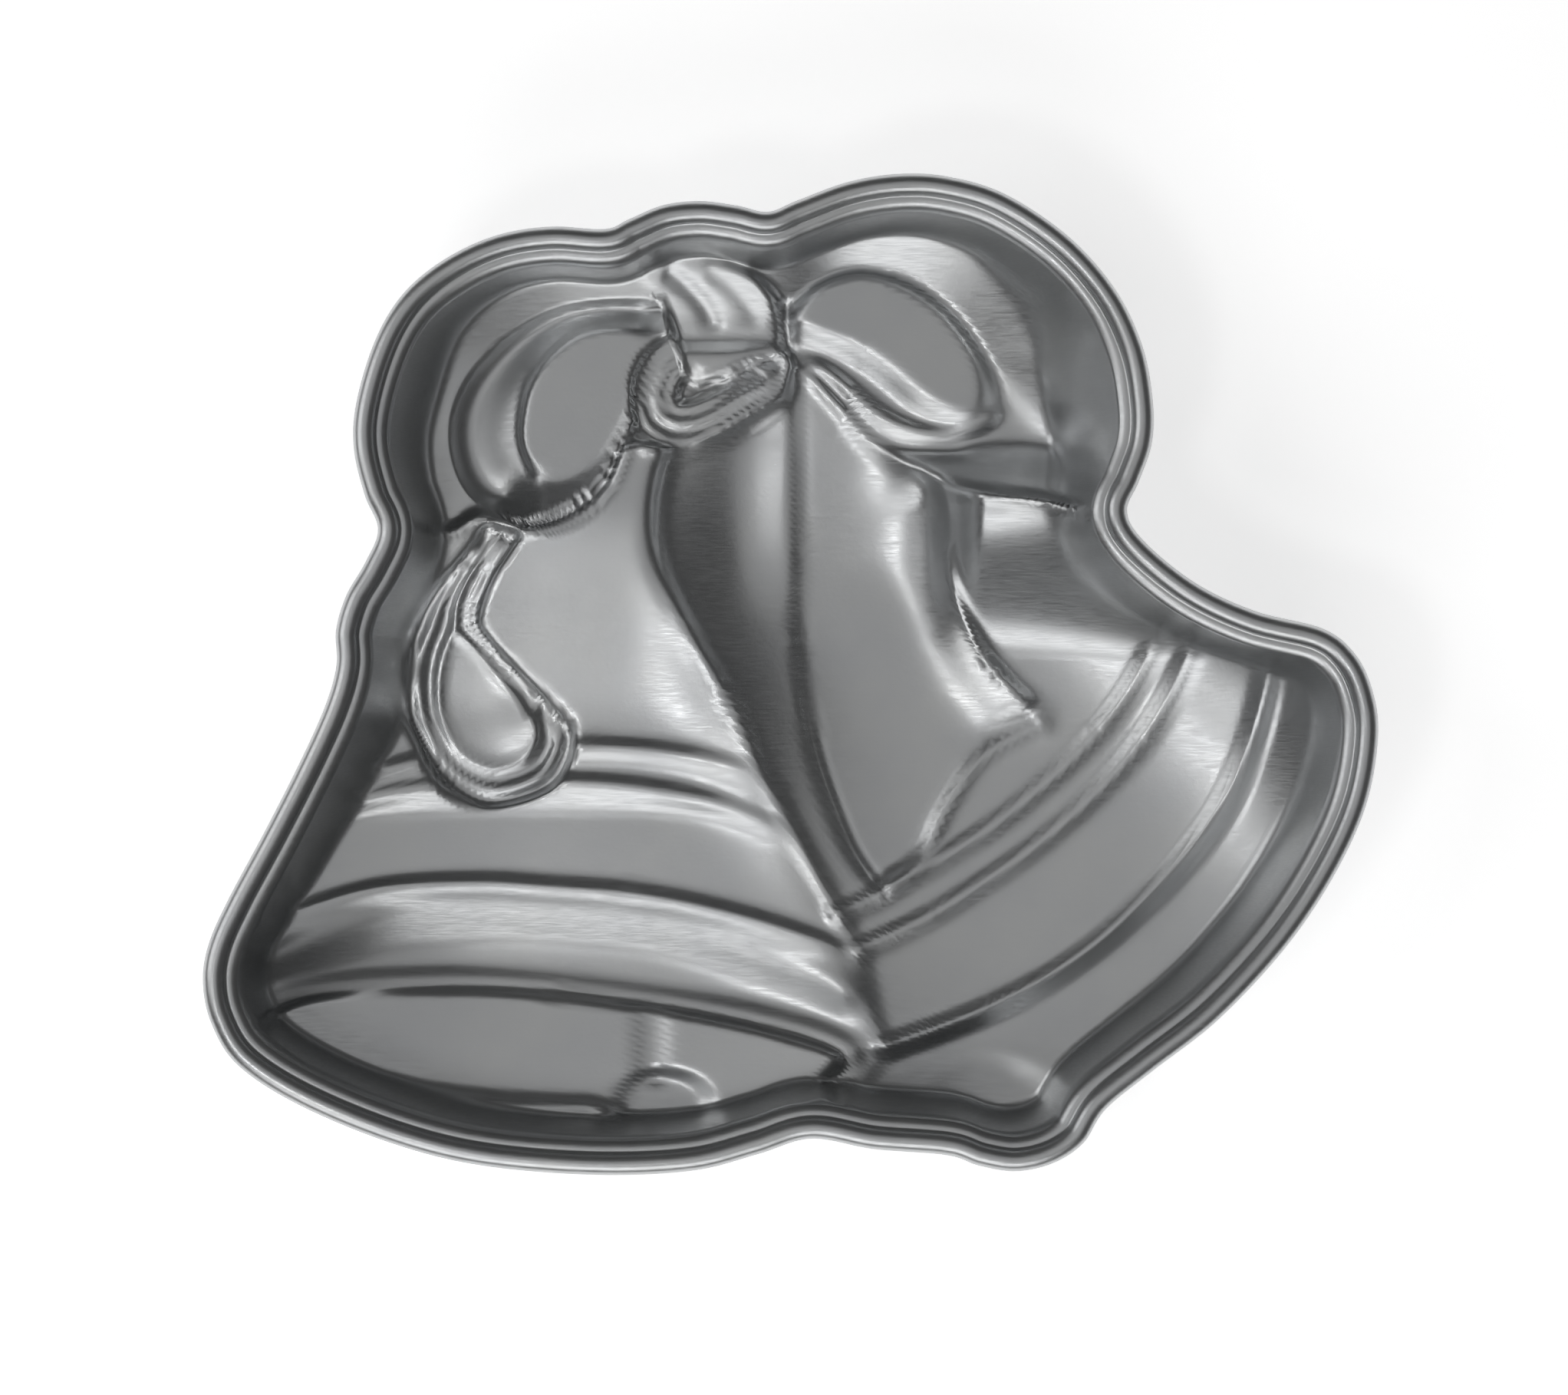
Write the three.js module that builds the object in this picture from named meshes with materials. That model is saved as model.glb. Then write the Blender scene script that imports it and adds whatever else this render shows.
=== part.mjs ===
// A pressed aluminium cake pan shaped as two wedding bells tied with a bow.
// Millimetres. X runs along the longest side, Y towards the bow, Z up out of the cavity.
// The pan stands on z = 0, and x = y = 0 is the middle of its bounding box.
import * as THREE from "three";
import { ParametricGeometry } from "three/addons/geometries/ParametricGeometry.js";
import { mergeGeometries } from "three/addons/utils/BufferGeometryUtils.js";

// Heights
const RIM_TOP = 50;
const LEDGE_Z = 46.6;
const SHEET = 1.2;
const FLOOR_DROP = 1.6;

// Rolled rim, in section: distances run in from the outline
const BEAD_R = 2.7;
const BEAD_SHEET = 1.0;
const LEDGE_IN = 8.2;
const CURL_START = -15;
const CURL_END = 290;
const SLOT_EDGE_IN = 4.75;
const WIRE_R = 1.3;

// How finely the surfaces are divided
const GRID = 40;
const OUTER_ARC_STEPS = 8;
const INNER_ARC_STEPS = 6;
const WIRE_SIDES = 6;
const LINE_STEPS = 4;
const SOFTEN = 1.7;

// The rays of the plan grid leave from here
const GRID_CENTRE = new THREE.Vector2(-5.7, 5.1);

// Outline, counter-clockwise: x, y, and the width of the wall's foot there
const OUTLINE = [
  [-45.2, 108.1, 3], [-58, 108.7, 3], [-70, 107, 3.5], [-81, 102.6, 5], [-91, 95.7, 7],
  [-97.8, 87.5, 11], [-102.7, 76.8, 13], [-106, 64, 13], [-106.2, 54, 12], [-103.6, 43.2, 9],
  [-100.4, 35, 7], [-103.5, 27, 9], [-108.1, 19, 11], [-110.6, 10.5, 12], [-110.5, 2, 12],
  [-113.2, -7.8, 11], [-119.5, -21.8, 9], [-127.9, -38.3, 8], [-136.7, -54.7, 7],
  [-141.6, -65.8, 6], [-143, -75, 5.5], [-141, -85, 5], [-134.6, -95.2, 5], [-120, -104.8, 5],
  [-98, -114, 5], [-76, -119.6, 5], [-48, -122, 5], [-24, -121, 5], [-8, -117, 5],
  [5, -113.2, 5], [20, -115.7, 5], [38, -117.2, 5], [46, -119.8, 5], [55, -121.1, 5],
  [64, -119.1, 5], [71.3, -114.2, 5.5], [76.7, -106, 6], [88, -96.8, 6], [104, -84.3, 7],
  [120.2, -67, 7.5], [132, -49.6, 8], [140, -32.2, 8.5], [143, -15, 8.5], [141.4, -3.4, 8],
  [137, 5.2, 7], [129.3, 11, 5], [113, 15.2, 4], [98.4, 22.1, 5], [86, 32.2, 7],
  [81.9, 39.4, 11], [84.8, 46.7, 16], [87.9, 55.8, 19.5], [88.2, 66, 21], [85.6, 79.8, 19.5],
  [78.9, 93.6, 16], [67.4, 106.5, 12], [52, 116.7, 7.5], [38, 120.9, 5.5], [26, 121.5, 4.5],
  [13.8, 119.5, 4], [1.5, 115, 4], [-5.5, 112.3, 4], [-13, 113.8, 4], [-22, 114.9, 4],
  [-31, 113.9, 4], [-39.3, 110.5, 3.5],
];

// Lines of the pressed picture, in plan
const BELL_CREASE = [
  [-29, 57], [-31.5, 50], [-33, 42], [-33.2, 34], [-31.8, 26], [-28.5, 18], [-24, 9], [-19, 0],
  [-14.5, -8], [-11, -16], [-7.5, -24], [-1, -36], [6, -49], [12.5, -61], [16.5, -70],
  [18.8, -78], [20.5, -86], [23, -93], [18, -101], [10, -107], [4, -112],
];
const CENTRE_CREASE = [
  [1.2, 77], [1.6, 60], [2, 40], [2.4, 20], [3, 4], [4.2, -9], [6.8, -21], [10.5, -32],
  [15, -43], [19.5, -50], [22.5, -53.5],
];
const RIBBON_EDGE = [
  [34, 49], [38, 44], [38.7, 36], [38.8, 27], [40.5, 19], [44, 10.5], [48.5, 3], [55, -4.5],
  [62.5, -12],
];
const RIBBON_END = [
  [62.5, -12], [56, -15.5], [50, -19], [45, -24], [41, -30], [37.5, -36], [34.5, -43],
  [30, -48.5], [25, -52], [22.5, -53.5],
];
const BOW_EDGE = [
  [-112, 34], [-100, 33.5], [-92, 34.2], [-84, 36.2], [-77.5, 39.8], [-72, 38], [-65, 36.3],
  [-57, 38.2], [-50, 42.3], [-45, 48], [-42, 55], [-39.5, 58.5], [-34, 56.8], [-28, 56],
  [-20, 58], [-10, 63.3], [-3, 68.5], [1, 76], [6, 74.3], [10.5, 69.5], [15, 64.5],
  [20, 58.5], [26, 53.5], [33, 49.6], [42, 46.3], [52, 44.8], [62, 43.6], [72, 41], [90, 38],
  [100, 60], [95, 130], [0, 130], [-120, 125], [-125, 60],
];
const LEFT_CREASE = [
  [-25, 93], [-33, 93.4], [-40, 93.6], [-48, 93.3], [-56, 92], [-63, 89.3], [-70, 85], [-76.5, 79],
  [-81.5, 72.5], [-84.5, 65], [-85, 57], [-83, 49], [-79, 43], [-73, 39.5], [-65, 37.5],
  [-57, 39.5], [-50.5, 43.5], [-45.5, 49], [-42.5, 56], [-38, 63], [-32, 70], [-25, 80],
];
const LEFT_RIDGE = [
  [-31, 83], [-36, 85.3], [-43.5, 86.2], [-52, 84.8], [-59.3, 79.6], [-64.5, 72.5], [-66.6, 65.3],
  [-67, 58], [-64.6, 51.6], [-60.5, 48], [-55, 48.6], [-50, 52.2], [-46, 57.5], [-42.5, 64],
  [-40, 70], [-37, 77],
];
const RIGHT_RIDGE = [
  [-0.5, 87.5], [4.5, 94.5], [12, 98.7], [20.1, 99.4], [30.3, 96.2], [39.5, 89.3],
  [46.4, 80.3], [49.8, 72.3], [49.3, 65.8], [45, 62.8], [39, 63.4], [31.6, 67.2],
  [23.5, 74], [14.5, 80], [5, 83.8],
];
const TAIL = [
  [-74.8, 37], [-79.7, 31], [-86.2, 23.6], [-91.9, 15.4], [-95.2, 8], [-96.6, 1.5],
  [-96.4, -5], [-95.2, -11.6], [-92.3, -18.1], [-88.6, -24.6], [-83.8, -29.5], [-76.4, -32.8],
  [-68.3, -32], [-60.1, -28.7], [-56.2, -23.8], [-54.2, -18.1], [-55, -13.4], [-61.7, -5.8],
  [-69.9, 2.8], [-75.6, 9.3], [-77.6, 13], [-76.8, 17.9], [-74, 24.4], [-69.9, 31],
  [-67.5, 35],
];
const TAIL_FOLD = [
  [-71, 36], [-75, 30.8], [-79.7, 24.4], [-82.8, 17.5], [-83.6, 10.8], [-86.2, 4],
  [-87.4, -3.4], [-87, -9.9], [-84.6, -16.4], [-80.5, -21], [-74.8, -23.4], [-69.1, -22.6],
  [-65, -19.7], [-63, -15.6], [-63.8, -11.5], [-67.5, -6.6], [-73.2, -0.1], [-78, 5.6],
  [-83.4, 10.8],
];
// From this point on the fold runs round the drop
const TAIL_DROP = 4;
const LEFT_BANDS = [
  [
    [-118, -33], [-106, -25.5], [-92, -21.5], [-75, -19.5], [-54, -18], [-40, -18.4],
    [-28, -19.8], [-18, -21.8], [-9, -24.5],
  ],
  [
    [-121, -38], [-110, -32.5], [-96, -28.5], [-75, -26.5], [-54, -26.8], [-40, -27.8],
    [-28, -29.8], [-16, -33], [-2, -38],
  ],
];
const LEFT_FLARE = [
  [-130, -62], [-118, -57.5], [-105, -53.8], [-92, -52.3], [-75, -52], [-60, -53], [-44, -54.2],
  [-30, -56.2], [-16, -59.3], [-3, -63], [10, -67.5], [17, -70.5],
];
const MOUTH = [
  [-131.5, -88], [-127.5, -83], [-120, -80.3], [-108, -78.9], [-94, -78.3], [-78, -78.2],
  [-62, -79.2], [-46, -81], [-30, -83.3], [-14, -86.3], [0, -89.7], [10, -93], [13.5, -96],
  [10, -101], [2, -106], [-6, -111], [-20, -118], [-50, -120], [-80, -118], [-100, -111],
  [-120, -102], [-130, -94],
];
const NEAR_LIP = [
  [-124, -93], [-112, -99.8], [-100, -102.8], [-88, -105], [-72, -107], [-58, -107.8],
  [-48, -108.3], [-43.5, -111],
];
const RIGHT_BANDS = [
  [
    [94, 24], [92, 13], [88.5, 4], [83.5, -5], [77, -13.5], [69, -22], [60, -30], [50, -38],
    [40, -44.5], [30, -50.5], [20, -56], [11, -60],
  ],
  [
    [101.5, 22], [100.3, 11], [97, 1], [92, -9], [85, -19.5], [77, -28.5], [68, -37],
    [58, -45], [47, -52.5], [36, -59.5], [26, -64.5], [17, -68.5],
  ],
];
const RIGHT_FLARE = [
  [119, 18], [118.3, 6], [117, -5], [114, -17], [109.5, -28.5], [103, -39], [95, -49],
  [86, -58.3], [76, -67.3], [64, -75.5], [50, -82.8], [37, -88], [24, -92.5],
];

// The knot, and the curl of ribbon under it
const KNOT = [
  [-37, 104], [-28, 104.5], [-18, 102.5], [-9, 99], [-3.5, 93], [-2.3, 86], [-2.8, 79.5],
  [-10, 76.5], [-19, 73], [-25.5, 73], [-27.5, 79], [-29.5, 86], [-32, 93], [-37, 98.5],
];
const CURL = [
  [-30, 84], [-35.8, 79.5], [-39, 73], [-39.3, 66], [-37, 60.4], [-32, 56.9], [-26, 56],
  [-18, 58], [-8.5, 63.6], [0, 68.5], [0, 80], [-12, 84], [-24, 86],
];

// The right bell's middle line, from its shoulder to its mouth, and its half widths
const BELL_TOP = [5, 70];
const BELL_MOUTH = [75, -75];
const SHOULDER_HALF = 50;
const MOUTH_EXTRA = 28;

// ---- small helpers --------------------------------------------------------

const clamp = (v) => Math.min(Math.max(v, 0), 1);

function ease(v) {
  const t = clamp(v);
  return t * t * (3 - 2 * t);
}

function mix(a, b, t) {
  return a * (1 - t) + b * t;
}

// A ridge across a line: steeper on one side than on the other.
function ridge(across, height, before, after) {
  const width = across > 0 ? after : before;
  return height * Math.exp(-((across / width) ** 2));
}

// A rounded bump: 1 in the middle, 0 well away from it.
function bump(v, width) {
  return Math.exp(-((v / width) ** 2));
}

// A smooth curve through plan points, cut into short straight steps.
function curveThrough(points, closed) {
  const knots = points.map(([x, y, w = 0]) => new THREE.Vector3(x, y, w));
  return new THREE.CatmullRomCurve3(knots, closed, "catmullrom", 0.5);
}

function line(points, closed = false) {
  const spans = closed ? points.length : points.length - 1;
  return curveThrough(points, closed).getPoints(spans * LINE_STEPS);
}

// Distance to the nearest place on a line, plain and signed (positive on the line's right).
function nearest(steps, x, y) {
  let best = Infinity;
  let side = 1;
  for (let i = 0; i + 1 < steps.length; i += 1) {
    const a = steps[i];
    const b = steps[i + 1];
    const dx = b.x - a.x;
    const dy = b.y - a.y;
    const t = clamp(((x - a.x) * dx + (y - a.y) * dy) / (dx * dx + dy * dy));
    const ex = x - a.x - t * dx;
    const ey = y - a.y - t * dy;
    const d2 = ex * ex + ey * ey;
    if (d2 < best) {
      best = d2;
      side = Math.sign(dy * ex - dx * ey) || 1;
    }
  }
  const distance = Math.sqrt(best);
  return { distance, across: side * distance };
}

function isInside(steps, x, y) {
  let inside = false;
  for (let i = 0; i + 1 < steps.length; i += 1) {
    const a = steps[i];
    const b = steps[i + 1];
    if (a.y > y !== b.y > y && x < ((b.x - a.x) * (y - a.y)) / (b.y - a.y) + a.x) {
      inside = !inside;
    }
  }
  return inside;
}

// Distance in from a closed line: negative outside it.
function depthInside(steps, x, y) {
  const { distance } = nearest(steps, x, y);
  return isInside(steps, x, y) ? distance : -distance;
}

// ---- the lines as steps ---------------------------------------------------

const outlineCurve = curveThrough(OUTLINE, true);
const outline = line(OUTLINE, true);
const bellCrease = line(BELL_CREASE);
const centreCrease = line(CENTRE_CREASE);
const ribbonEdge = line(RIBBON_EDGE);
const ribbonEnd = line(RIBBON_END);
const bowEdge = line(BOW_EDGE, true);
const leftCrease = line(LEFT_CREASE, true);
const leftRidge = line(LEFT_RIDGE, true);
const rightRidge = line(RIGHT_RIDGE, true);
const tail = line(TAIL, true);
const tailFold = line(TAIL_FOLD);
const tailDrop = line(TAIL_FOLD.slice(TAIL_DROP), true);
const knot = line(KNOT, true);
const curl = line(CURL, true);
const nearLip = line(NEAR_LIP);
const leftBands = LEFT_BANDS.map((points) => line(points));
const leftFlare = line(LEFT_FLARE);
const mouth = line(MOUTH, true);
const rightBands = RIGHT_BANDS.map((points) => line(points));
const rightFlare = line(RIGHT_FLARE);

const corner = (x, y) => new THREE.Vector3(x, y, 0);
const ribbonArea = [
  ...centreCrease,
  ...[...ribbonEnd].reverse(),
  ...[...ribbonEdge].reverse(),
  corner(30, 60),
  corner(10, 80),
  centreCrease[0],
];
const leftBellArea = [
  ...bellCrease,
  corner(-20, -135),
  corner(-160, -135),
  corner(-160, 60),
  bellCrease[0],
];

// ---- heights of the inside surface, region by region ----------------------

// The right bell: a trough along its middle line, two bands, the flare and the clapper's tip.
function rightBell(x, y) {
  const [tx, ty] = BELL_TOP;
  const [mx, my] = BELL_MOUTH;
  const long = Math.hypot(mx - tx, my - ty);
  const ux = (mx - tx) / long;
  const uy = (my - ty) / long;
  const along = (x - tx) * ux + (y - ty) * uy;
  const half = SHOULDER_HALF + MOUTH_EXTRA * ease((along - 55) / 100);
  const off = ((y - ty) * ux - (x - tx) * uy) * (SHOULDER_HALF / half);
  let z = 4.1 + 0.0011 * off ** 2 + (off > 0 ? 1.6e-6 : 0.7e-6) * off ** 4;
  z += 7 * ease((y - 12) / 62) * bump(Math.max(x - 30, 0), 60);
  z -= 1.3 * bump(Math.hypot((x - 14) / 26, (y - 18) / 30), 1);
  z += 21 * ease((y - 3) / 38) * ease((x - 33) / 15);
  for (const band of rightBands) z += ridge(-nearest(band, x, y).across, 1.6, 1.7, 2.6);
  const past = -nearest(rightFlare, x, y).across;
  z += ridge(past, 1.8, 1.7, 3.2) - 1.5 * ease(past / 5);
  z += mix(1.5, 6, ease((y + 50) / 40)) * ease((past - 3) / 19);
  z += 1.5 * ease((-92 - y) / 22) * ease((92 - x) / 30);
  const tip = Math.hypot((x - 50) / 19, (y + 106) / 12);
  return z - 2.2 * clamp(1 - tip ** 2) ** 1.5 * ease((past - 2) / 4);
}

// The ribbon down the right bell: lower than the bell, with a raised edge and a cut end.
function centreRibbon(z, x, y) {
  const end = nearest(ribbonEnd, x, y).distance;
  const edge = nearest(ribbonEdge, x, y).distance;
  const crease = nearest(centreCrease, x, y).distance;
  const inside = isInside(ribbonArea, x, y);
  const raised = 3.2 * bump(edge, inside ? 9 : 2.4) * ease(end / 8);
  const step = inside ? 1.1 * ease(crease / 2.2) * ease(end / 3) : 0;
  const slant = 0.25 * (y - 39) * ease((y - 39) / 40);
  const fold = 1.5 * bump(x + 12 - slant, 9) * ease((y - 5) / 30) * ease((74 - y) / 16);
  return z + raised - step + bump(end, 2) - fold;
}

// The open mouth of the left bell: a plate with the near lip and the clapper's stem and ball.
function mouthPlate(x, y) {
  let z = 6.4 + 0.09 * (-79 - y) + 0.0008 * (x + 58) ** 2;
  z += 2 * bump(nearest(nearLip, x, y).distance, 2);
  const stem = ease((4.8 - Math.abs(x + 34.5)) / 3);
  z -= stem * ease((y + 104) / 4) * ease((-81.5 - y) / 4);
  const ball = Math.hypot((x + 31.5) / 12.5, (y + 107) / 8.5);
  return z - 2 * ease((1.15 - ball) / 0.5);
}

// The left bell: shoulder, two bands, the flare and the rounded lip round the mouth.
function leftBell(x, y) {
  let z = 8.4 + 9 * ease((y + 15) / 58) + 0.0012 * Math.max(-62 - x, 0) ** 2;
  z -= 1.2 * ease((-30 - y) / 6);
  for (const band of leftBands) z += ridge(nearest(band, x, y).across, 1.6, 1.7, 3.2);
  const past = nearest(leftFlare, x, y).across;
  z += ridge(past, 1.7, 1.8, 3.4) - 4.5 * ease((past - 1) / 17);
  const ends = 0.0024 * Math.max(-78 - x, 0) ** 2 + 0.0016 * Math.max(x + 36, 0) ** 2;
  z += ends * ease(past / 10);
  const into = depthInside(mouth, x, y);
  z += 1.5 * ease((6.5 + into) / 5) * ease(past / 8);
  return past > 4 ? mix(z, mouthPlate(x, y), ease((into + 0.3) / 2)) : z;
}

// The hooked tail of the ribbon beside the left bell, and the drop of bell inside it.
function ribbonTail(z, x, y) {
  const into = depthInside(tail, x, y);
  if (into < -6) return z;
  const fromFold = nearest(tailFold, x, y).distance;
  const share = Math.max(into, 0) / (Math.max(into, 0) + fromFold + 1e-6);
  let shaped = 1.9 * ease((share - 0.1) / 0.32) - 1.4 * ease((share - 0.46) / 0.2);
  shaped += 1.4 * ease((share - 0.7) / 0.28);
  if (isInside(tailDrop, x, y)) {
    const lit = Math.hypot((x + 64) / 9, (y + 12) / 9);
    shaped = 1.7 - 0.5 * ease(fromFold / 1.8) + 1.5 * bump(lit, 1);
  }
  const low = 5 + 8 * ease((y + 12) / 50) + 0.0012 * Math.max(-72 - x, 0) ** 2;
  return mix(z, low + shaped, ease((into + 1) / 2.2));
}

// How far round towards a direction a point lies from a centre, -1 to 1.
function facing(x, y, [cx, cy], [wx, wy]) {
  const dx = x - cx;
  const dy = y - cy;
  return (dx * wx + dy * wy) / (Math.hypot(dx, dy) + 1e-6);
}

// The left loop: an outer fold, a step at the crease, a trough of ribbon and the raised hole.
function leftLoop(x, y) {
  const fromCrease = nearest(leftCrease, x, y).distance;
  if (!isInside(leftCrease, x, y)) {
    return 14.4 + 0.34 * Math.min(fromCrease, 18) * ease((y - 60) / 30);
  }
  const gentle = ease((facing(x, y, [-53, 66], [0.8, -0.6]) + 0.1) / 0.45);
  const into = depthInside(leftRidge, x, y);
  const share = fromCrease / (fromCrease + Math.abs(into) + 1e-9);
  let tube = 14.4 - 2.2 * (1 - Math.exp(-((fromCrease / 2) ** 1.6)));
  tube += 2.9 * ease((share - 0.3) / 0.75) - 1.2 * ease(share / 0.36);
  tube = into > 0 ? 13.9 : tube;
  tube = mix(tube, 16.2 + 0.42 * Math.min(Math.max(-into, 0), 9), gentle);
  return mix(tube, 16.2, ease(0.5 + into / mix(2.2, 8, gentle)));
}

// The right loop: a trough that rises outwards, and the raised hole with a ramp below.
function rightLoop(x, y) {
  const gentle = ease((facing(x, y, [27, 82], [-0.35, -0.94]) + 0.3) / 0.6);
  const into = depthInside(rightRidge, x, y);
  const out = Math.min(Math.max(Math.abs(into) - 1.5, 0), 14);
  const lobe = 10 * ease((59 - y) / 17) * ease((x - 22) / 14);
  const band = 9.6 + 0.5 * mix(1, 0.12, gentle) * out + lobe;
  return mix(band, 13, ease(0.5 + into / mix(2.2, 8, gentle)));
}

// The bow: two loops, the knot between them and the curl of ribbon under it.
function bow(z, x, y) {
  const into = depthInside(bowEdge, x, y);
  if (into < -8) return z;
  const loops = mix(leftLoop(x, y), rightLoop(x, y), ease((x + 26) / 16));
  const intoKnot = depthInside(knot, x, y);
  const knotZ = 11 + 7 * ease((y - 82) / 24) + 2 * ease((84 - y) / 5);
  const tied = mix(loops, knotZ, ease((intoKnot + 1.4) / 2.8));
  const intoCurl = depthInside(curl, x, y);
  const curlZ = 13.2 - 2.2 * ease((intoCurl - 9) / 4);
  const curled = mix(tied, curlZ, ease((intoCurl + 0.6) / 1.6) * ease((0.8 - intoKnot) / 1.6));
  return mix(z, curled, ease((into + 1.2) / 2.8)) + bump(into + 0.8, 1.7);
}

// Both bells, joined along the crease where one lies over the other.
function bells(x, y) {
  const right = centreRibbon(rightBell(x, y), x, y);
  const crease = nearest(bellCrease, x, y).distance;
  let z = right;
  if (isInside(leftBellArea, x, y)) {
    const reach = 1.6 + 4.4 * ease((42 - y) / 60) - 2.5 * ease((-45 - y) / 25);
    z = mix(leftBell(x, y), right, Math.exp(-((crease / reach) ** 1.25)));
  }
  return z + 0.9 * Math.exp(-((crease / 1.5) ** 2)) * ease((y + 112) / 8);
}

// How much of the height at a point is side wall: 1 at the ledge, 0 from the foot inwards.
function wallShare(x, y) {
  let share = 0;
  let total = 0;
  for (const [px, py, footThere] of OUTLINE) {
    const weight = 1 / ((x - px) ** 2 + (y - py) ** 2 + 30) ** 2;
    share += weight * footThere;
    total += weight;
  }
  const foot = share / total;
  const t = clamp((nearest(outline, x, y).distance - LEDGE_IN) / foot);
  return (1 - t) ** mix(2.8, 1.35, ease((foot - 13) / 6));
}

// Height of the inside surface anywhere within the ledge.
function pressedHeight(x, y) {
  const z = bow(ribbonTail(bells(x, y), x, y), x, y) - FLOOR_DROP;
  return mix(Math.min(Math.max(z, SHEET), LEDGE_Z), LEDGE_Z, wallShare(x, y));
}

// The same, averaged over a small cross so that no step is steeper than the grid can carry.
function insideHeight(x, y) {
  const d = SOFTEN;
  const round = pressedHeight(x + d, y) + pressedHeight(x - d, y)
    + pressedHeight(x, y + d) + pressedHeight(x, y - d);
  return (2 * pressedHeight(x, y) + round) / 6;
}

// Height of the underside: one sheet thickness below, measured square to the surface.
function undersideHeight(x, y, top) {
  const step = 0.5;
  const gx = (insideHeight(x + step, y) - insideHeight(x - step, y)) / (2 * step);
  const gy = (insideHeight(x, y + step) - insideHeight(x, y - step)) / (2 * step);
  const drop = SHEET * Math.min(Math.sqrt(1 + gx * gx + gy * gy), 2.5);
  return Math.max(top - drop, 0);
}

// ---- the solids -----------------------------------------------------------

// The outline moved inwards by a distance.
function insetOutline(turn, inwards) {
  const point = outlineCurve.getPoint(turn);
  const ahead = outlineCurve.getPoint((turn + 0.001) % 1);
  const behind = outlineCurve.getPoint((turn + 0.999) % 1);
  const tx = ahead.x - behind.x;
  const ty = ahead.y - behind.y;
  const size = Math.hypot(tx, ty);
  return [point.x - (ty / size) * inwards, point.y + (tx / size) * inwards];
}

// A square grid laid over the plan: rings of squares become rings of the outline.
function planPoint(s, t) {
  const a = 2 * s - 1;
  const b = 2 * t - 1;
  const wide = Math.abs(a) >= Math.abs(b);
  const lead = wide ? a : b;
  if (lead === 0) return { x: GRID_CENTRE.x, y: GRID_CENTRE.y, ring: 0 };
  const eighth = wide ? b / a / 8 : 0.25 - a / b / 8;
  const turn = (eighth + (lead < 0 ? 0.5 : 0) + 1) % 1;
  const ring = Math.abs(lead);
  const [ex, ey] = insetOutline(turn, LEDGE_IN);
  return { x: mix(GRID_CENTRE.x, ex, ring), y: mix(GRID_CENTRE.y, ey, ring), ring };
}

function insideFace(s, t, target) {
  const { x, y, ring } = planPoint(s, t);
  target.set(x, y, ring === 1 ? LEDGE_Z : insideHeight(x, y));
}

function underFace(t, s, target) {
  const { x, y, ring } = planPoint(s, t);
  const z = ring === 1 ? LEDGE_Z - BEAD_SHEET : undersideHeight(x, y, insideHeight(x, y));
  target.set(x, y, z);
}

function arcPoints(radius, fromDegrees, toDegrees, steps) {
  const centre = new THREE.Vector2(BEAD_R, RIM_TOP - BEAD_R);
  return Array.from({ length: steps + 1 }, (_, i) => {
    const angle = THREE.MathUtils.degToRad(mix(fromDegrees, toDegrees, i / steps));
    return [centre.x + radius * Math.cos(angle), centre.y + radius * Math.sin(angle)];
  });
}

// The rim's section: ledge, over the bead, round the curl, back inside it, under the ledge.
function rimSection() {
  return [
    [LEDGE_IN, LEDGE_Z],
    ...arcPoints(BEAD_R, CURL_START, CURL_END, OUTER_ARC_STEPS),
    ...arcPoints(BEAD_R - BEAD_SHEET, CURL_END, CURL_START, INNER_ARC_STEPS),
    [SLOT_EDGE_IN, LEDGE_Z - BEAD_SHEET],
    [LEDGE_IN, LEDGE_Z - BEAD_SHEET],
  ];
}

function sweepRound(section, aroundSteps) {
  const rows = section.length - 1;
  const place = (u, v, target) => {
    const [inwards, z] = section[Math.round(u * rows)];
    const [x, y] = insetOutline(v % 1, inwards);
    target.set(x, y, z);
  };
  return new ParametricGeometry(place, rows, aroundSteps);
}

function panSheet() {
  const faces = [
    new ParametricGeometry(insideFace, GRID, GRID),
    new ParametricGeometry(underFace, GRID, GRID),
    sweepRound(rimSection(), 4 * GRID),
  ];
  return mergeGeometries(faces);
}

function rimWire() {
  return sweepRound(arcPoints(WIRE_R, 0, 360, WIRE_SIDES), 4 * GRID);
}

function part(name, geometry, color, roughness) {
  const material = new THREE.MeshStandardMaterial({ color, metalness: 1, roughness });
  material.name = name;
  const mesh = new THREE.Mesh(geometry, material);
  mesh.name = name;
  return mesh;
}

const pan = new THREE.Group();
pan.name = "two_bells_cake_pan";
pan.add(part("pan_sheet", panSheet(), 0xb9bcc2, 0.38));
pan.add(part("rim_wire", rimWire(), 0x8c8f94, 0.5));

// Put the middle of the bounding box over the origin.
const middle = new THREE.Box3().setFromObject(pan).getCenter(new THREE.Vector3());
for (const mesh of pan.children) mesh.geometry.translate(-middle.x, -middle.y, 0);

export default pan;
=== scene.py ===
import math

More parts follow.
